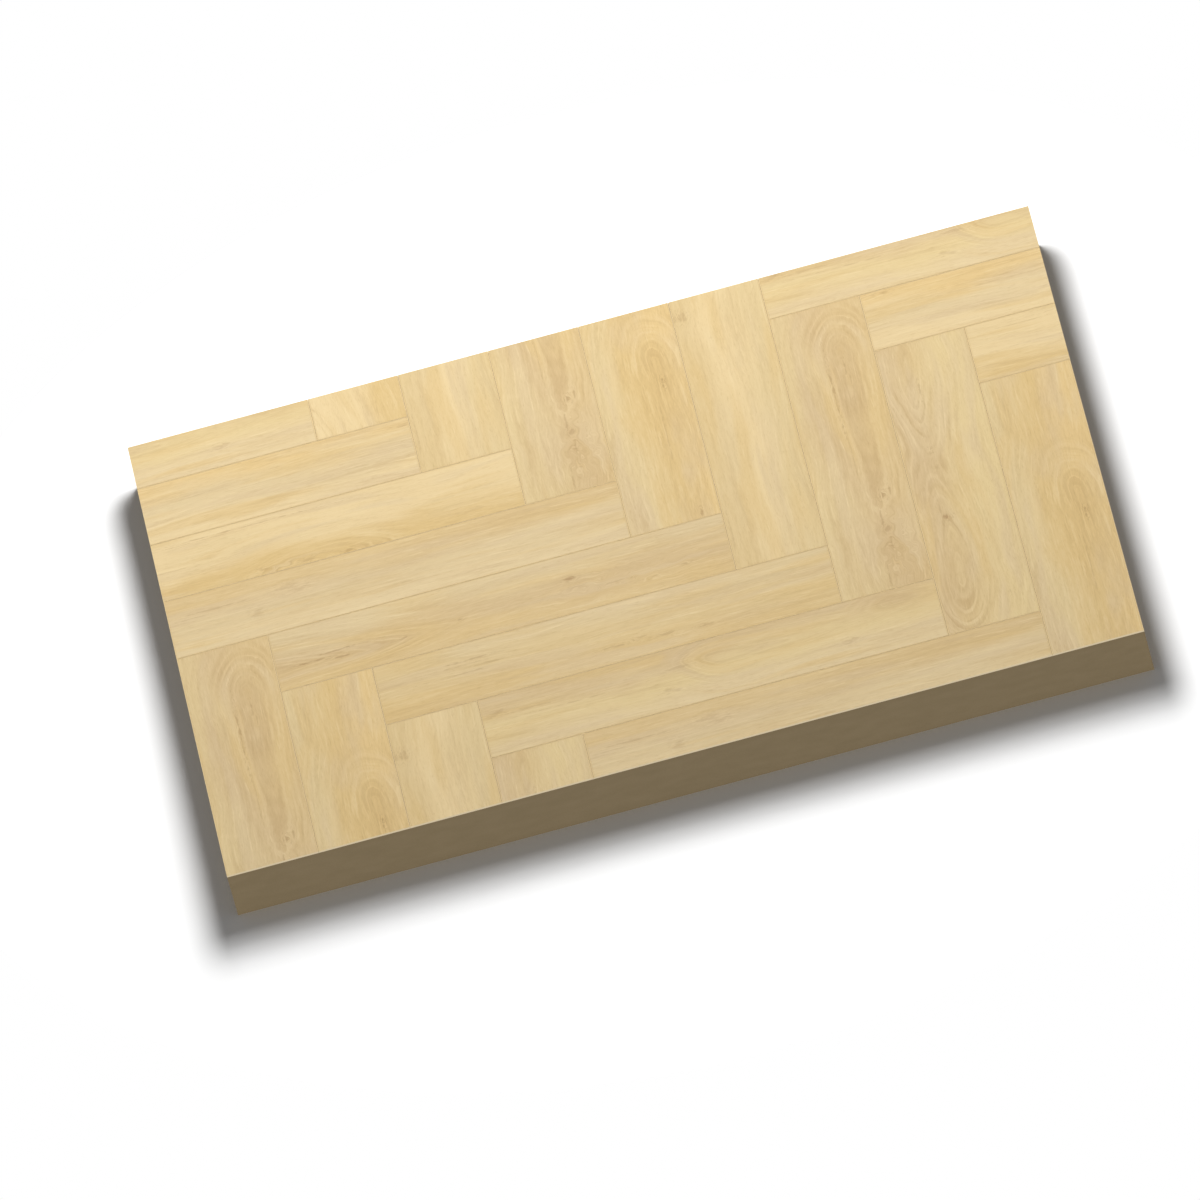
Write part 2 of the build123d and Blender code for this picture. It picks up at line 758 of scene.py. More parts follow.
class OakWash(Effect):
    """The soft tones that drift over the print: one along each long edge and one between them."""

    title = "oak_wash"
    takes = {
        "Place": ORIGIN,
        "Seed": 0.0,
        "Back Tone": OakTone.CREAM.value,
        "Middle Tone": OakTone.SAND.value,
        "Front Tone": OakTone.PALE.value,
        "Far Tone": OakTone.SAND.value,
        "Tilt": 0.0,
        "Warmth": 0.0,
    }
    gives = {"Color": "Color"}

    # The middle of a plank along it, in plank widths
    middle = 2.5
    # The noise that moves the tones across the plank, and the clouds
    drift = Lines(1.3, 0.7, 0.9, 3.0)
    clouds = Lines(3.2, 0.8)
    # Where the middle tone and the front one start across the plank, and where each is full
    middle_range = (0.1, 0.52)
    front_range = (0.48, 0.9)
    # Where a cloud, a golden patch and an ashen one start, where they are full, and how strong they are
    cloud_range = (-0.08, 0.28, (0.0, 0.6))
    golden_range = (0.0, 0.15, (0.0, 0.6))
    ashen_range = (-0.03, -0.16, (0.0, 0.5))

    @classmethod
    def build(cls, work: Tree, takes: Values) -> Values:
        """Builds the wash: a ramp across the plank, bent by slow noise, and clouds of the far tone.

        Args:
            work: The tree to build in.
            takes: The group's inputs by name.

        Returns:
            The group's outputs by name.
        """
        along, across, _ = work.split(takes["Place"])
        drift = draw(work, takes, cls.drift) * cls.drift.share
        level = (along - cls.middle) * takes["Tilt"] + across + drift
        colour = takes["Back Tone"]
        for value, levels, tone in (
            (level, cls.middle_range, takes["Middle Tone"]),
            (level, cls.front_range, takes["Front Tone"]),
            (draw(work, takes, cls.clouds), cls.cloud_range, takes["Far Tone"]),
            (takes["Warmth"], cls.golden_range, OakTone.GOLD.value),
            (takes["Warmth"], cls.ashen_range, OakTone.ASH.value),
        ):
            colour = work.mix(work.between(value, *levels), colour, tone)
        return {"Color": colour}


class PlankEdge(Effect):
    """Where the plank's bevel and its sides are, and the faint line that the print has beside them."""

    title = "plank_edge"
    takes = {"Place": ORIGIN, "Normal": (0.0, 0.0, 1.0), "Length": 5.0, "Line": 0.024}
    gives = {"Bevel": "Float", "Side": "Float", "Beside": "Float"}

    # A face that points up or down by less than the first is a side, and by less than the second a bevel
    side_up_to = 0.5
    bevel_up_to = 0.97
    # Where the bevel ends, in plank widths from the rim
    bevel_end = 0.008

    @classmethod
    def build(cls, work: Tree, takes: Values) -> Values:
        """Builds the masks from the face's slope and from the distance to the whole plank's rim.

        Args:
            work: The tree to build in.
            takes: The group's inputs by name.

        Returns:
            The group's outputs by name.
        """
        along, across, _ = work.split(takes["Place"])
        up = abs(work.split(takes["Normal"])[2])
        side = work.math("LESS_THAN", up, cls.side_up_to)
        sloped = work.math("LESS_THAN", up, cls.bevel_up_to)
        to_end = work.math("MINIMUM", along, takes["Length"] - along)
        to_side = work.math("MINIMUM", across, 1.0 - across)
        rim = work.math("MINIMUM", to_end, to_side)
        return {
            "Bevel": work.math("SUBTRACT", sloped, side, clamp=True),
            "Side": side,
            "Beside": work.between(rim, takes["Line"], cls.bevel_end),
        }


class FibreFleck(Effect):
    """The short flecks of pressed wood fibre, and the slightly denser skin near both faces."""

    title = "fibre_fleck"
    takes = {"Place": ORIGIN, "Thickness": 0.065}
    gives = {"Fleck": "Float", "Skin": "Float", "Scratch": "Float"}

    # How many flecks, patches and saw marks lie in one metre, and how each is stretched
    flecks, patches, scratches = 420.0, 28.0, 900.0
    flat = (1.0, 1.0, 3.5)
    upright = (1.0, 1.0, 0.05)
    # The depth in metres where the skin ends, and where it is full
    skin = (0.009, 0.001)
    # How much the patches and the flecks add to the board's flecks
    patch_share, fleck_share = 0.6, 0.7

    @classmethod
    def build(cls, work: Tree, takes: Values) -> Values:
        """Builds the flecks from stretched noise, and the skin from the height in the board.

        Args:
            work: The tree to build in.
            takes: The group's inputs by name.

        Returns:
            The group's outputs by name.
        """
        flat = work.vector("MULTIPLY", takes["Place"], cls.flat)
        fleck = work.noise(flat, 3.0, 0.65, cls.flecks)
        patch = work.noise(flat, 3.0, scale=cls.patches)
        _, _, height = work.split(takes["Place"])
        depth = work.math("MINIMUM", height, takes["Thickness"] - height)
        upright = work.vector("MULTIPLY", takes["Place"], cls.upright)
        return {
            "Fleck": patch * cls.patch_share + fleck * cls.fleck_share,
            "Skin": work.between(depth, *cls.skin),
            "Scratch": work.noise(upright, 1.0, scale=cls.scratches),
        }


@dataclass(frozen=True)
class Heart:
    """Where the heart of the tree comes nearest to the plank's face, in plank widths.

    Attributes:
        place: Its place along and across the plank.
        start_rise: How fast the grain closes towards the plank's start.
        end_rise: How fast it closes towards the plank's end.
        point: How pointed the arches are: 2 is round, and 1 is a straight chevron.
        fill: How much darker the inside of the arches is, or lighter where it is under 0.
        width: How far the inside reaches across.
    """

    place: Point
    start_rise: float = 0.1
    end_rise: float = 0.1
    point: float = 2.0
    fill: float = 0.0
    width: float = 0.16


STRAIGHT = Heart((2.5, -1.3), 0.03, 0.03)


@dataclass(frozen=True)
class Mark:
    """A knot, an eye or a streak in the print, in plank widths.

    Attributes:
        place: Its middle along and across the plank.
        reach: How far it reaches along and across.
        dark: How dark its heart is.
        push: How far it pushes the grain aside.
    """

    place: Point
    reach: Point
    dark: float = 0.5
    push: float = 0.0


@dataclass(frozen=True)
class Curl:
    """A place where the grain swings from side to side, in plank widths.

    Attributes:
        place: Its middle along and across the plank.
        reach: How far it reaches along and across.
        swing: How far the lines are pushed.
        eddies: How many eddies lie in one plank width.
    """

    place: Point
    reach: Point
    swing: float = 0.05
    eddies: float = 4.0


@dataclass(frozen=True)
class OakPrint:
    """One printed oak picture, as long and as wide as a whole plank.

    Attributes:
        seed: The place in the noise that the picture is drawn from.
        tones: The tones along the back edge, in the middle, along the front edge, and in clouds.
        hearts: One or two hearts that the arches close round.
        marks: The knots, eyes and streaks.
        curls: The places where the grain curls.
        tilt: How far the tones slant over the plank.
        rings: How many growth rings lie in one plank width.
        ring_strength: How strongly they show.
        calm: How far from a heart they start to show.
        wander: How far the grain wanders.
        contrast: How strong the grain's shades are.
    """

    seed: float
    tones: tuple[OakTone, OakTone, OakTone, OakTone]
    hearts: tuple[Heart, ...] = (STRAIGHT,)
    marks: tuple[Mark, ...] = ()
    curls: tuple[Curl, ...] = ()
    tilt: float = 0.0
    rings: float = 15.0
    ring_strength: float = 0.5
    calm: float = 0.1
    wander: float = 0.24
    contrast: float = 1.0


class Picture(Enum):
    """The printed pictures that the planks come in."""

    ARCH_AND_KNOT = OakPrint(
        seed=3.1,
        tones=(OakTone.TAN, OakTone.BISCUIT, OakTone.SAND, OakTone.BISCUIT),
        hearts=(
            Heart((0.85, 0.33), 0.5, 0.06, 2.2, 0.3, 0.2),
            Heart((4.7, 0.33), 0.2, 0.1, 1.4, 0.25, 0.24),
        ),
        marks=(
            Mark((1.12, 0.34), (0.16, 0.02), 0.45),
            Mark((1.3, 0.31), (0.2, 0.012), 0.4),
            Mark((1.5, 0.52), (0.9, 0.022), 0.6),
            Mark((2.6, 0.5), (0.7, 0.012), 0.3),
            Mark((3.42, 0.3), (0.11, 0.07), 0.85, 0.02),
            Mark((3.36, 0.21), (0.12, 0.02), 0.5),
            Mark((3.75, 0.37), (0.3, 0.018), 0.5),
            Mark((3.98, 0.33), (0.07, 0.08), 0.5),
            Mark((4.3, 0.33), (0.12, 0.025), 0.3),
            Mark((4.62, 0.33), (0.08, 0.03), 0.3),
            Mark((4.8, 0.44), (0.3, 0.016), 0.45),
        ),
        curls=(Curl((4.3, 0.28), (0.7, 0.22), 0.09, 4.5), Curl((3.5, 0.3), (0.3, 0.15), 0.04, 7.0)),
        tilt=0.05,
    )
    SIDE_ARCH = OakPrint(
        seed=11.7,
        tones=(OakTone.HONEY, OakTone.GOLD, OakTone.SAND, OakTone.ASH),
        hearts=(Heart((2.1, 0.26), 0.42, 0.03, 2.2, 0.2, 0.2),),
        marks=(
            Mark((2.56, 0.26), (0.16, 0.032), 0.9, 0.02),
            Mark((3.5, 0.36), (0.7, 0.012), 0.3),
            Mark((3.4, 0.46), (0.5, 0.01), 0.25),
            Mark((4.88, 0.2), (0.1, 0.025), 0.7),
        ),
        curls=(Curl((1.8, 0.42), (0.4, 0.12), 0.01, 5.0),),
        tilt=0.04,
        rings=19.0,
        ring_strength=0.34,
    )
    STRAIGHT_PALE = OakPrint(
        seed=23.3,
        tones=(OakTone.SAND, OakTone.CREAM, OakTone.WHEAT, OakTone.OAT),
        marks=(
            Mark((0.58, 0.9), (0.14, 0.09), 0.5, 0.04),
            Mark((4.3, 0.95), (0.7, 0.016), 0.3),
            Mark((4.0, 0.14), (0.35, 0.012), 0.25),
        ),
        ring_strength=0.3,
        contrast=0.8,
    )
    CHEVRONS = OakPrint(
        seed=31.9,
        tones=(OakTone.STRAW, OakTone.WHEAT, OakTone.BISCUIT, OakTone.ASH),
        hearts=(
            Heart((0.15, 0.66), 0.3, 0.155, 1.5, 0.3, 0.13),
            Heart((4.05, 0.7), 0.13, 0.34, 1.8, 0.16, 0.24),
        ),
        marks=(
            Mark((0.85, 0.63), (0.22, 0.02), 0.45),
            Mark((1.88, 0.68), (0.08, 0.045), 0.6),
            Mark((2.2, 0.66), (0.1, 0.06), 0.3),
            Mark((3.06, 0.69), (0.08, 0.07), 0.8),
            Mark((2.85, 0.75), (0.2, 0.016), 0.35),
            Mark((4.55, 0.26), (0.09, 0.03), 0.3, 0.03),
        ),
        ring_strength=0.75,
        rings=13.0,
        calm=0.17,
    )
    FISHBONE = OakPrint(
        seed=47.2,
        tones=(OakTone.OAT, OakTone.BISCUIT, OakTone.TAN, OakTone.GOLD),
        hearts=(Heart((-0.1, 0.63), 0.26, 0.19, 1.3, 0.3),),
        marks=(
            Mark((0.42, 0.64), (0.24, 0.024), 0.75),
            Mark((0.62, 0.56), (0.24, 0.018), 0.6),
            Mark((0.7, 0.68), (0.16, 0.024), 0.7),
            Mark((0.98, 0.55), (0.24, 0.018), 0.6),
            Mark((1.4, 0.65), (0.06, 0.03), 0.5),
            Mark((2.03, 0.6), (0.06, 0.03), 0.6),
            Mark((3.27, 0.42), (0.1, 0.05), 0.85, 0.03),
            Mark((3.3, 0.56), (0.25, 0.07), 0.2),
            Mark((3.75, 0.66), (0.2, 0.03), 0.4),
            Mark((4.15, 0.74), (0.16, 0.026), 0.4),
            Mark((4.5, 0.66), (0.07, 0.035), 0.5, 0.03),
        ),
        curls=(Curl((3.8, 0.66), (0.75, 0.24), 0.1, 3.6), Curl((0.9, 0.62), (0.6, 0.1), 0.02, 6.0)),
        rings=17.0,
        ring_strength=0.55,
    )
    SHORT_DASHES = OakPrint(
        seed=59.4,
        tones=(OakTone.OAT, OakTone.WHEAT, OakTone.TAN, OakTone.GOLD),
        marks=(
            Mark((1.08, 0.3), (0.3, 0.028), 0.5),
            Mark((1.22, 0.42), (0.24, 0.024), 0.4),
            Mark((0.95, 0.36), (0.34, 0.018), 0.4),
            Mark((0.85, 0.5), (0.45, 0.018), 0.35),
            Mark((2.55, 0.72), (0.26, 0.03), 0.5),
            Mark((2.85, 0.68), (0.1, 0.04), 0.35),
            Mark((3.1, 0.74), (0.16, 0.04), 0.45),
            Mark((3.55, 0.77), (0.2, 0.03), 0.5),
        ),
        curls=(Curl((3.0, 0.74), (0.65, 0.09), 0.06, 4.0),),
        tilt=-0.05,
        ring_strength=0.4,
    )
    SMOKY_EDGE = OakPrint(
        seed=67.8,
        tones=(OakTone.BISCUIT, OakTone.STRAW, OakTone.PALE, OakTone.WHEAT),
        hearts=(
            Heart((4.6, 0.22), 0.4, 0.3, 2.0, 0.15, 0.12),
            Heart((2.6, 0.36), 0.75, 0.1, 2.0, 0.1, 0.12),
        ),
        marks=(
            Mark((0.15, 0.3), (0.3, 0.07), 0.4),
            Mark((0.5, 0.34), (0.4, 0.02), 0.35),
            Mark((0.9, 0.44), (0.7, 0.014), 0.4),
            Mark((2.2, 0.34), (0.26, 0.04), 0.35),
            Mark((2.02, 0.69), (0.18, 0.08), 0.35),
            Mark((3.96, 0.66), (0.14, 0.06), 0.4),
        ),
        tilt=0.06,
        ring_strength=0.17,
    )
    TWO_SMUDGES = OakPrint(
        seed=73.5,
        tones=(OakTone.TAN, OakTone.OAT, OakTone.PALE, OakTone.TAN),
        marks=(
            Mark((1.38, 0.31), (0.24, 0.13), 0.3, 0.03),
            Mark((0.5, 0.33), (0.5, 0.02), 0.4),
            Mark((0.25, 0.4), (0.3, 0.016), 0.35),
            Mark((0.95, 0.58), (0.1, 0.13), 0.3),
            Mark((0.75, 0.53), (0.14, 0.04), -0.15),
            Mark((2.55, 0.74), (0.12, 0.02), 0.25),
        ),
        ring_strength=0.3,
    )
    TWO_TONE = OakPrint(
        seed=83.6,
        tones=(OakTone.HONEY, OakTone.OAT, OakTone.CREAM, OakTone.PALE),
        marks=(
            Mark((0.25, 0.07), (0.12, 0.07), 0.45, 0.04),
            Mark((1.6, 0.36), (1.0, 0.016), 0.2),
            Mark((4.9, 0.12), (0.14, 0.04), 0.3, -0.04),
        ),
        ring_strength=0.25,
    )
    KNOTTY_EDGE = OakPrint(
        seed=97.1,
        tones=(OakTone.CREAM, OakTone.CREAM, OakTone.GOLD, OakTone.SAND),
        hearts=(Heart((2.7, 1.06), 0.4, 0.34, 2.0, 0.2, 0.17),),
        marks=(
            Mark((2.0, 0.105), (1.3, 0.014), 0.5),
            Mark((1.6, 0.14), (0.8, 0.01), 0.35),
            Mark((0.6, 0.17), (0.6, 0.01), 0.35),
            Mark((1.0, 0.53), (0.9, 0.01), 0.3),
            Mark((2.12, 0.9), (0.14, 0.05), 0.35),
            Mark((2.62, 0.94), (0.12, 0.05), 0.4),
            Mark((3.05, 0.96), (0.09, 0.04), 0.6),
            Mark((4.35, 0.84), (0.5, 0.05), 0.2),
        ),
        curls=(Curl((2.6, 0.93), (0.6, 0.1), 0.05, 6.0),),
        tilt=0.02,
    )
    HONEY_PLAIN = OakPrint(
        seed=107.9,
        tones=(OakTone.GOLD, OakTone.CREAM, OakTone.CREAM, OakTone.CREAM),
        hearts=(Heart((5.4, 1.15), 0.3, 0.3),),
        marks=(Mark((4.7, 0.3), (0.5, 0.014), 0.2),),
        ring_strength=0.4,
    )


@dataclass(frozen=True)
class PlankFinish:
    """A matt, embossed vinyl plank: the print, its painted bevel (lightened with painted light against
    the shadow in the joint's gap) and the pale edge of its core.

    Attributes:
        latewood: The dark side of the figure.
        earlywood: Its light side.
        knot: The hearts of knots and eyes.
        bevel: The paint of the bevel, lighter than the face: painted light that offsets the shadow in
            the joint's gap.
        rim: The print's faint line beside the bevel.
        core: The vinyl that shows on the sides.
        figure: How strongly the figure tints the print.
        pores: How strongly the pores do.
        spots: How strongly the knots, eyes and streaks do.
        beside: How strongly the line beside the bevel does.
        roughness: The face's roughness.
        relief_sheen: How much it changes with the relief.
        specular: The face's specular level.
        emboss: The depth of the embossed grain, in metres.
    """

    latewood: Colour = paint("B08950")
    earlywood: Colour = paint("F8E2B2")
    knot: Colour = paint("93632C")
    # The bevel's paint is lighter than the face: painted light that offsets the shadow in the joint's
    # gap
    bevel: Colour = paint("E6CC9A")
    rim: Colour = paint("CCAE78")
    core: Colour = paint("DCCAA8")
    figure: float = 0.5
    pores: float = 0.16
    spots: float = 0.55
    beside: float = 0.4
    roughness: float = 0.7
    relief_sheen: float = -0.12
    specular: float = 0.25
    emboss: float = 0.00012

    def grain(self, work: Tree, place: Value, oak: OakPrint) -> tuple[Value, Values]:
        """Draws the print's curls and hearts.

        Args:
            work: The material's tree.
            place: The coordinates on the plank.
            oak: The print.

        Returns:
            The coordinates with the curls in them, and what the last heart's field gives.
        """
        for curl in oak.curls:
            place = GrainCurl.add(
                work,
                Place=place,
                Middle=(*curl.place, 0.0),
                Reach=(*curl.reach, 1.0),
                Swing=curl.swing,
                Eddies=curl.eddies,
            )["Place"]
        known = {}
        for heart in oak.hearts:
            made = GrainField.add(
                work,
                Place=place,
                Seed=oak.seed,
                Heart=(*heart.place, 0.0),
                Start_Rise=heart.start_rise,
                End_Rise=heart.end_rise,
                Point=heart.point,
                Wander=oak.wander,
                Fill=heart.fill,
                Width=heart.width,
                **known,
            )
            known = {f"Other_{name}": made[name] for name in ("Field", "Tip", "Fill", "Far")}
        return place, made

    def material(self, name: str, lie: "PlankLie", oak: OakPrint) -> bpy.types.Material:
        """Makes one plank's material.

        Args:
            name: The material's name.
            lie: How the whole plank lies.
            oak: The print on it.

        Returns:
            The material.
        """
        made, work = new_material(name)
        place = lie.place(work)
        curled, grain = self.grain(work, place, oak)
        torn = TornGrain.add(work, Place=curled, Seed=oak.seed)["Torn"]
        marked = {"Field": grain["Field"], "Shade": 0.0}
        for mark in oak.marks:
            marked = GrainMark.add(
                work,
                Place=place,
                Torn=torn,
                Middle=(*mark.place, 0.0),
                Reach=(*mark.reach, 1.0),
                Push=mark.push,
                Dark=mark.dark,
                **marked,
            )
        figure = OakFigure.add(
            work,
            Place=curled,
            Field=marked["Field"],
            Tip=grain["Tip"],
            Straight=grain["Straight"],
            Far=grain["Far"],
            Seed=oak.seed,
            Rings=oak.rings,
            Ring_Strength=oak.ring_strength,
            Calm=oak.calm,
        )
        back, middle, front, far = (tone.value for tone in oak.tones)
        wash = OakWash.add(
            work,
            Place=place,
            Seed=oak.seed,
            Back_Tone=back,
            Middle_Tone=middle,
            Front_Tone=front,
            Far_Tone=far,
            Tilt=oak.tilt,
            Warmth=figure["Warmth"] * oak.contrast,
        )
        normal = work.values(work.node("ShaderNodeNewGeometry"))["True Normal"]
        edge = PlankEdge.add(work, Place=place, Normal=normal, Length=lie.widths_long)

        tint = (figure["Shade"] * oak.contrast + grain["Fill"]) * self.figure
        colour = wash["Color"]
        for share, tone in (
            (work.math("MAXIMUM", tint, 0.0), self.latewood),
            (work.math("MAXIMUM", tint * -1.0, 0.0), self.earlywood),
            (figure["Pores"] * self.pores, self.latewood),
            (work.math("MULTIPLY", marked["Shade"], self.spots, clamp=True), self.knot),
            (edge["Beside"] * self.beside, self.rim),
            # The bevel, painted lighter than the face as painted light against the joint's shadow
            (edge["Bevel"], self.bevel),
            (edge["Side"], self.core),
        ):
            colour = work.mix(share, colour, tone)
        relief = figure["Relief"]
        rough = relief * self.relief_sheen + self.roughness
        work.surface(colour, rough, self.specular, relief * (1.0 - edge["Side"]), self.emboss)
        return made


@dataclass(frozen=True)
class FibreFinish:
    """The plain brown fibre board under the planks.

    Attributes:
        brown: Its main colour.
        light: The light flecks.
        dark: The dark flecks.
        skin: The denser brown near the faces.
        skin_share: How strongly the skin shows.
        roughness: Its least roughness.
        fleck_roughness: How much rougher a fleck is.
        specular: Its specular level.
        relief: The depth of its texture, in metres.
    """

    brown: Colour = paint("7F7056")
    light: Colour = paint("84755B")
    dark: Colour = paint("796B51")
    skin: Colour = paint("7B6C52")
    skin_share: float = 0.5
    roughness: float = 0.83
    fleck_roughness: float = 0.1
    specular: float = 0.2
    relief: float = 0.00008

    def material(self, name: str, thickness: float) -> bpy.types.Material:
        """Makes the board's material.

        Args:
            name: The material's name.
            thickness: The board's thickness in metres.

        Returns:
            The material.
        """
        made, work = new_material(name)
        place = work.values(work.node("ShaderNodeTexCoord"))["Object"]
        fibre = FibreFleck.add(work, Place=place, Thickness=thickness)
        fleck = fibre["Fleck"]
        colour = work.mix(work.between(fleck, 0.62, 0.82, (0.0, 0.5)), self.brown, self.light)
        colour = work.mix(work.between(fleck, 0.68, 0.48, (0.0, 0.45)), colour, self.dark)
        colour = work.mix(fibre["Skin"] * self.skin_share, colour, self.skin)
        rough = fleck * self.fleck_roughness + self.roughness
        work.surface(colour, rough, self.specular, fleck + fibre["Scratch"], self.relief)
        return made


@dataclass(frozen=True)
class Lay:
    """The herringbone lay, read back from two whole planks of the frame.

    Attributes:
        width: A plank's width with its joint, in metres.
        length: A plank's length with its joint, in metres.
        corner: The back left corner of the first whole plank's place, seen from above.
        row: That plank's row.
    """

    width: float
    length: float
    corner: Point
    row: int

    @classmethod
    def read(cls, row: int = 5) -> "Lay":
        """Measures the lay on the whole lengthwise plank of a row and the one in the next row.

        Args:
            row: The row.

        Returns:
            The lay.
        """
        low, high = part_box(f"plank_main_lengthwise_{row:02d}")
        next_low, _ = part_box(f"plank_main_lengthwise_{row + 1:02d}")
        width = low.y - next_low.y
        joint = width - (high.y - low.y)
        length = high.x - low.x + joint
        return cls(width, length, (low.x - joint / 2, high.y + joint / 2), row)

    def lie(self, node: str) -> "PlankLie":
        """Finds how a plank lies, from its name: its zigzag, its run and its row.

        Args:
            node: The node's name.

        Returns:
            The lie of the whole plank, before it was sawn.
        """
        _, zigzag, run, row = node.split("_")
        ahead = {"front1": -1, "main": 0, "back1": 1}[zigzag]
        steps = int(row) - self.row
        left = self.corner[0] + steps * self.width + ahead * self.length
        back = self.corner[1] - steps * self.width + ahead * self.length
        if run == "lengthwise":
            return PlankLie(self.width, self.length, (left, back), False)
        corner = (left + self.length + self.width, back - self.width + self.length)
        return PlankLie(self.width, self.length, corner, True)


@dataclass(frozen=True)
class PlankLie:
    """How one whole plank lies, with its print.

    Attributes:
        width: Its width in metres.
        length: Its length in metres.
        corner: The corner that the print starts from: back left, or back right on a crosswise plank.
        crosswise: Whether it runs from back to front.
    """

    width: float
    length: float
    corner: Point
    crosswise: bool

    @property
    def widths_long(self) -> float:
        """The plank's length in plank widths."""
        return self.length / self.width

    def place(self, work: Tree) -> Value:
        """Adds the print's coordinates: X along the plank and Y across it, in plank widths.

        Args:
            work: The material's tree.

        Returns:
            The coordinates.
        """
        unit = 1.0 / self.width
        x, y = self.corner
        placed = {"Scale": (unit, -unit, 0.0), "Location": (-x * unit, y * unit, 0.0)}
        if self.crosswise:
            placed = {
                "Scale": (-unit, unit, 0.0),
                "Rotation": (0.0, 0.0, math.pi / 2),
                "Location": (y * unit, x * unit, 0.0),
            }
        mapping = work.node("ShaderNodeMapping", vector_type="POINT")
        work.fill(mapping, {"Vector": work.node("ShaderNodeTexCoord").outputs["Object"], **placed})
        return Value(work, mapping.outputs[0])


PRINTS = {
    "plank_main_lengthwise_01": Picture.SMOKY_EDGE,
    "plank_main_lengthwise_02": Picture.TWO_TONE,
    "plank_main_lengthwise_03": Picture.KNOTTY_EDGE,
    "plank_main_lengthwise_04": Picture.TWO_SMUDGES,
    "plank_main_lengthwise_05": Picture.FISHBONE,
    "plank_main_lengthwise_06": Picture.SHORT_DASHES,
    "plank_main_lengthwise_07": Picture.SMOKY_EDGE,
    "plank_main_lengthwise_08": Picture.TWO_SMUDGES,
    "plank_main_crosswise_01": Picture.HONEY_PLAIN,
    "plank_main_crosswise_02": Picture.STRAIGHT_PALE,
    "plank_main_crosswise_03": Picture.ARCH_AND_KNOT,
    "plank_main_crosswise_04": Picture.SIDE_ARCH,
    "plank_main_crosswise_05": Picture.STRAIGHT_PALE,
    "plank_main_crosswise_06": Picture.ARCH_AND_KNOT,
    "plank_main_crosswise_07": Picture.CHEVRONS,
    "plank_main_crosswise_08": Picture.SIDE_ARCH,
    "plank_front1_crosswise_04": Picture.ARCH_AND_KNOT,
    "plank_front1_crosswise_05": Picture.SIDE_ARCH,
    "plank_front1_crosswise_06": Picture.STRAIGHT_PALE,
    "plank_front1_crosswise_07": Picture.CHEVRONS,
    "plank_back1_lengthwise_06": Picture.SMOKY_EDGE,
    "plank_back1_lengthwise_07": Picture.TWO_TONE,
    "plank_back1_lengthwise_08": Picture.KNOTTY_EDGE,
}


@dataclass
class FloorBoard:
    """The whole board: the planks and the fibre board that carries them.

    Attributes:
        base: The fibre board's node.
        planks: Each plank's node and the picture printed on it.
        plank_finish: The planks' finish.
        base_finish: The fibre board's finish.
    """

    base: str = "base_board"
    planks: dict[str, Picture] = field(default_factory=lambda: dict(PRINTS))
    plank_finish: PlankFinish = PlankFinish()
    base_finish: FibreFinish = FibreFinish()

    def dress_node(self, name: str, material: bpy.types.Material) -> None:
        """Gives a node its only material.

        Args:
            name: The node's name.
            material: The material.
        """
        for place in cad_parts[name].material_slots:
            place.material = material
        LOG.info("%s: %s", name, material.name)

    def dress(self) -> None:
        """Dresses the fibre board and every plank."""
        low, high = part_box(self.base)
        self.dress_node(self.base, self.base_finish.material("fibre_board", high.z - low.z))
        lay = Lay.read()
        for name, picture in self.planks.items():
            title = f"oak_{picture.name.lower()}_on_{name}"
            self.dress_node(name, self.plank_finish.material(title, lay.lie(name), picture.value))


def toward(azimuth: float, elevation: float) -> Vector:
    """Turns two angles into a direction away from the board.

    Args:
        azimuth: The angle round the board, in degrees: 0 is in front and 90 on the right.
        elevation: The angle above the floor, in degrees.

    Returns:
        The direction, 1 long.
    """
    turn, height = math.radians(azimuth), math.radians(elevation)
    level = Vector((math.sin(turn), -math.cos(turn), 0.0)) * math.cos(height)
    return level + Vector((0.0, 0.0, math.sin(height)))


def add_object(name: str, data: bpy.types.ID) -> bpy.types.Object:
    """Makes an object in the scene.

    Args:
        name: The object's name.
        data: Its mesh, lamp or camera.

    Returns:
        The object.
    """
    made = bpy.data.objects.new(name, data)
    bpy.context.scene.collection.objects.link(made)
    return made


def aim_light(lamp: bpy.types.Object, lit: bpy.types.Collection) -> None:
    """Keeps a lamp out of the picture, and its light on what it is meant for.

    Args:
        lamp: The lamp.
        lit: The collection of what it shines on.
    """
    lamp.visible_camera = False
    lamp.light_linking.receiver_collection = lit
    LOG.info("lamp %s", lamp.name)


@dataclass
class Lamp:
    """A soft sun or a round lamp of the studio.

    Attributes:
        name: Its name.
        level: How much it adds to a colour that it shines on squarely, where 1 is as written.
        azimuth: Where it stands round the board, in degrees.
        elevation: Its height above the floor, in degrees.
        softness: The angle that it fills, in degrees.
        distance: How far away a round lamp stands, in metres. A sun has none.
    """

    name: str
    level: float
    azimuth: float
    elevation: float
    softness: float
    distance: float = 0.0

    def build(self, lit: bpy.types.Collection) -> None:
        """Makes the lamp.

        Args:
            lit: The collection of what it shines on.
        """
        data = bpy.data.lights.new(self.name, "AREA" if self.distance else "SUN")
        angle = math.radians(self.softness)
        if self.distance:
            data.shape = "DISK"
            data.size = 2 * self.distance * math.tan(angle / 2)
            data.energy = self.level * math.pi ** 2 * self.distance ** 2
        else:
            data.angle = angle
            data.energy = self.level * math.pi
        lamp = add_object(self.name, data)
        direction = toward(self.azimuth, self.elevation)
        turned = direction.to_track_quat("Z", "Y").to_matrix().to_4x4()
        lamp.matrix_world = Matrix.Translation(direction * (self.distance or 1.0)) @ turned
        # A sun only fills the sides, and being low it would leave a pale sheen on the face
        lamp.visible_glossy = bool(self.distance)
        aim_light(lamp, lit)


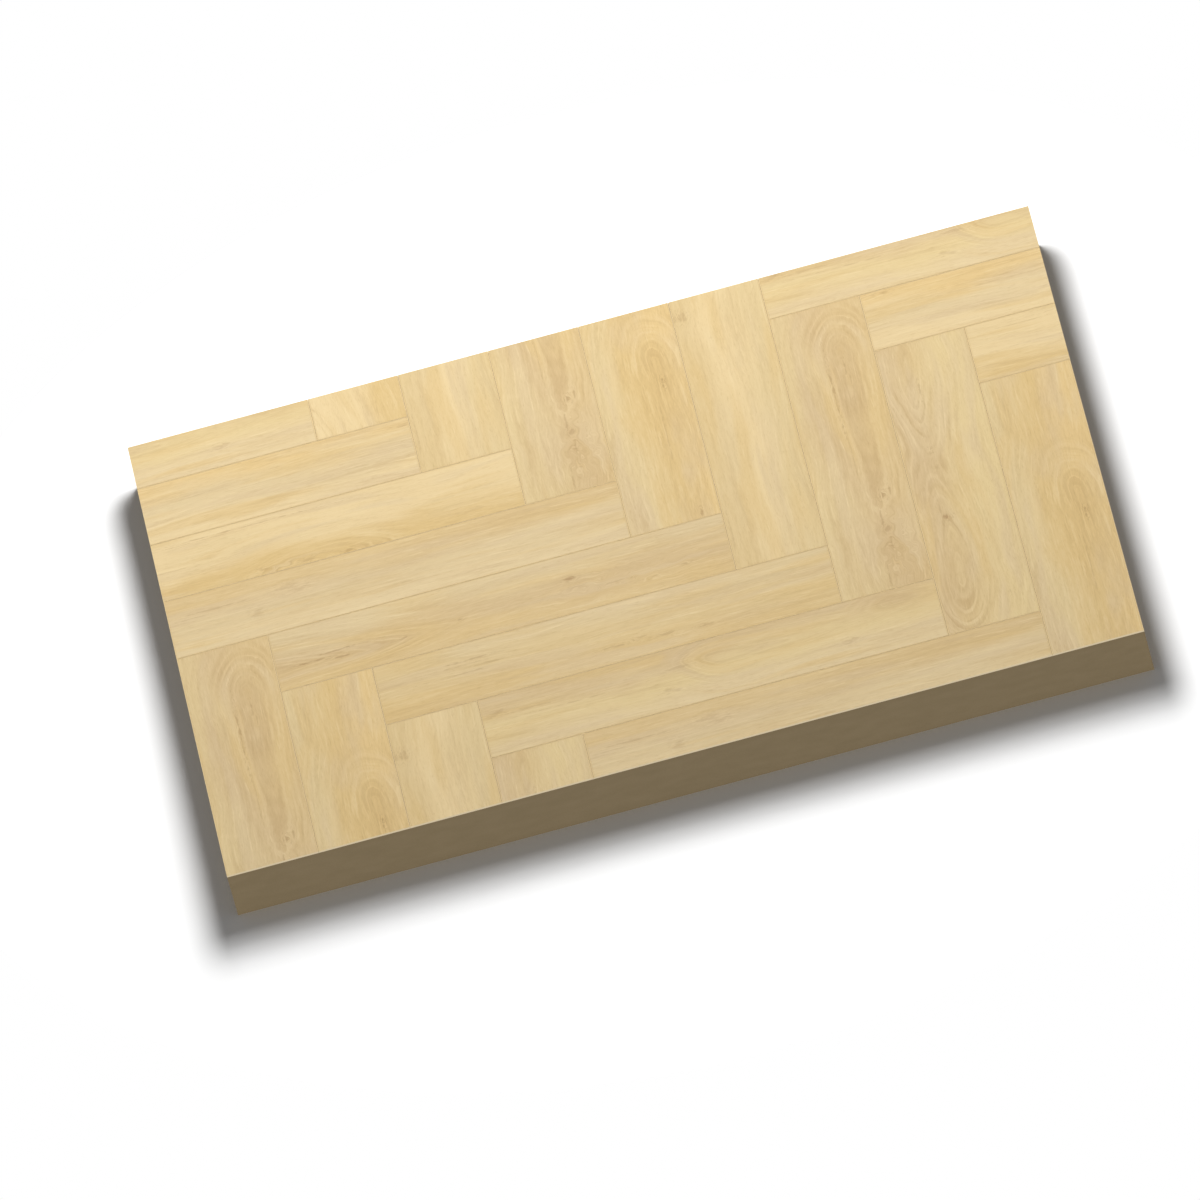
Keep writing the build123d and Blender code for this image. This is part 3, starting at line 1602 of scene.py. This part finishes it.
@dataclass
class FloorLamps:
    """A row of lamps over the floor behind the board.

    They are near, so the board's shadow spreads to both sides.

    Attributes:
        side: How far right of the board's middle they hang, in metres.
        behind: How far behind it each of them hangs.
        height: How high they hang.
        radius: The radius of each.
        level: How bright each makes a white floor under it, where 1 is white.
    """

    side: float = 0.12
    behind: tuple[float, ...] = (0.4, 0.85, 1.3)
    height: float = 1.1
    radius: float = 0.4
    level: float = 0.55

    def build(self, lit: bpy.types.Collection) -> None:
        """Makes the lamps, with light that doesn't fall off as it travels.

        Args:
            lit: The collection of what they shine on.
        """
        for behind in self.behind:
            data = bpy.data.lights.new("floor_light", "POINT")
            data.shadow_soft_size = self.radius
            data.energy = 4 * math.pi ** 2
            data.use_nodes = True
            tree = Tree(data.node_tree)
            falloff = tree.node("ShaderNodeLightFalloff")
            tree.fill(falloff, {"Strength": self.level})
            tree.fill(data.node_tree.nodes["Emission"], {"Strength": falloff.outputs["Constant"]})
            lamp = add_object("floor_light", data)
            lamp.location = (self.side, behind, self.height)
            aim_light(lamp, lit)


@dataclass
class Camera:
    """A far camera with a long lens, turned about its own axis as in the photograph.

    Attributes:
        azimuth: Where it stands round the board, in degrees.
        elevation: Its height above the floor, in degrees.
        roll: How far it is turned about its own axis, in degrees.
        distance: How far away it stands, in metres.
        frame_width: What the picture is wide, at the board, in metres.
        offset: How far the picture's middle lies right of the face's middle and above it, in metres.
        sensor: The sensor's width in millimetres.
    """

    azimuth: float = 1.0
    elevation: float = 38.6
    roll: float = -15.65
    distance: float = 39.0
    frame_width: float = 1.5555
    offset: Point = (-0.0402, -0.0804)
    sensor: float = 36.0

    def build(self, middle: Vector) -> None:
        """Makes the camera and sets it as the scene's.

        Args:
            middle: The middle of the board's face.
        """
        turn, roll = math.radians(self.azimuth), math.radians(self.roll)
        back = toward(self.azimuth, self.elevation)
        level = Vector((math.cos(turn), math.sin(turn), 0.0))
        steep = back.cross(level)
        right = level * math.cos(roll) + steep * math.sin(roll)
        up = steep * math.cos(roll) - level * math.sin(roll)
        data = bpy.data.cameras.new("camera")
        data.sensor_width = self.sensor
        data.lens = self.sensor * self.distance / self.frame_width
        data.clip_start, data.clip_end = 1.0, 4 * self.distance
        camera = add_object("camera", data)
        place = middle + right * self.offset[0] + up * self.offset[1] + back * self.distance
        turned = Matrix((right, up, back)).transposed().to_4x4()
        camera.matrix_world = Matrix.Translation(place) @ turned
        bpy.context.scene.camera = camera


@dataclass
class Studio:
    """The white floor, the light and the camera.

    Attributes:
        floor_radius: The round floor's radius in metres.
        floor_grey: How much light the floor throws back on the board.
        ambient: The level of the light from all round.
        board_lamps: The lamps that light the board.
        floor_lamps: The lamps that light the floor and throw the board's shadow.
        camera: The camera.
    """

    floor_radius: float = 1.0
    floor_grey: float = 0.1
    ambient: float = 0.18
    board_lamps: tuple[Lamp, ...] = (
        Lamp("key_from_behind", 0.76, 180.0, 43.5, 16.0, 4.2),
        Lamp("fill_front", 0.73, 0.0, 8.0, 12.0),
        Lamp("fill_left", 0.46, -90.0, 8.0, 12.0),
        Lamp("fill_right", 0.46, 90.0, 8.0, 12.0),
    )
    floor_lamps: FloorLamps = field(default_factory=FloorLamps)
    camera: Camera = field(default_factory=Camera)

    def build_floor(self) -> bpy.types.Object:
        """Makes the floor: white where the camera sees it lit, and grey for all other light.

        Returns:
            The floor.
        """
        mesh = bpy.data.meshes.new("floor")
        work = bmesh.new()
        bmesh.ops.create_circle(work, cap_ends=True, segments=96, radius=self.floor_radius)
        work.to_mesh(mesh)
        work.free()
        floor = add_object("floor", mesh)
        made, tree = new_material("floor_white")
        seen = tree.node("ShaderNodeLightPath").outputs["Is Camera Ray"]
        diffuse = tree.node("ShaderNodeBsdfDiffuse")
        grey = (self.floor_grey, self.floor_grey, self.floor_grey, 1.0)
        tree.fill(diffuse, {"Color": tree.mix(seen, grey, WHITE)})
        tree.fill(tree.node("ShaderNodeOutputMaterial"), {"Surface": diffuse.outputs[0]})
        mesh.materials.append(made)
        return floor

    def build_world(self) -> None:
        """Makes the world: white where it is seen, and the ambient level for all other light."""
        world = bpy.data.worlds.new("studio")
        world.use_nodes = True
        world.node_tree.nodes.clear()
        tree = Tree(world.node_tree)
        rays = tree.values(tree.node("ShaderNodeLightPath"))
        seen = tree.math("MAXIMUM", rays["Is Camera Ray"], rays["Is Glossy Ray"])
        seen = tree.math("MAXIMUM", seen, rays["Is Transmission Ray"])
        background = tree.node("ShaderNodeBackground")
        strength = seen * (1.0 - self.ambient) + self.ambient
        tree.fill(background, {"Color": WHITE, "Strength": strength})
        tree.fill(tree.node("ShaderNodeOutputWorld"), {"Surface": background.outputs[0]})
        bpy.context.scene.world = world

    def build(self) -> None:
        """Makes the floor, the world, the lamps and the camera."""
        floor = self.build_floor()
        self.build_world()
        board = bpy.data.collections.new("lit_board")
        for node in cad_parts.values():
            board.objects.link(node)
        ground = bpy.data.collections.new("lit_floor")
        ground.objects.link(floor)
        for lamp in self.board_lamps:
            lamp.build(board)
        self.floor_lamps.build(ground)
        low, high = CAD_BOX
        middle = (low + high) / 2
        self.camera.build(Vector((middle.x, middle.y, high.z)))
        bpy.context.scene.view_settings.view_transform = "Standard"


def main() -> None:
    """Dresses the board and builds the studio."""
    logging.basicConfig(level=logging.INFO, format="%(name)s: %(message)s")
    FloorBoard().dress()
    Studio().build()


if __name__ == "__main__":
    main()
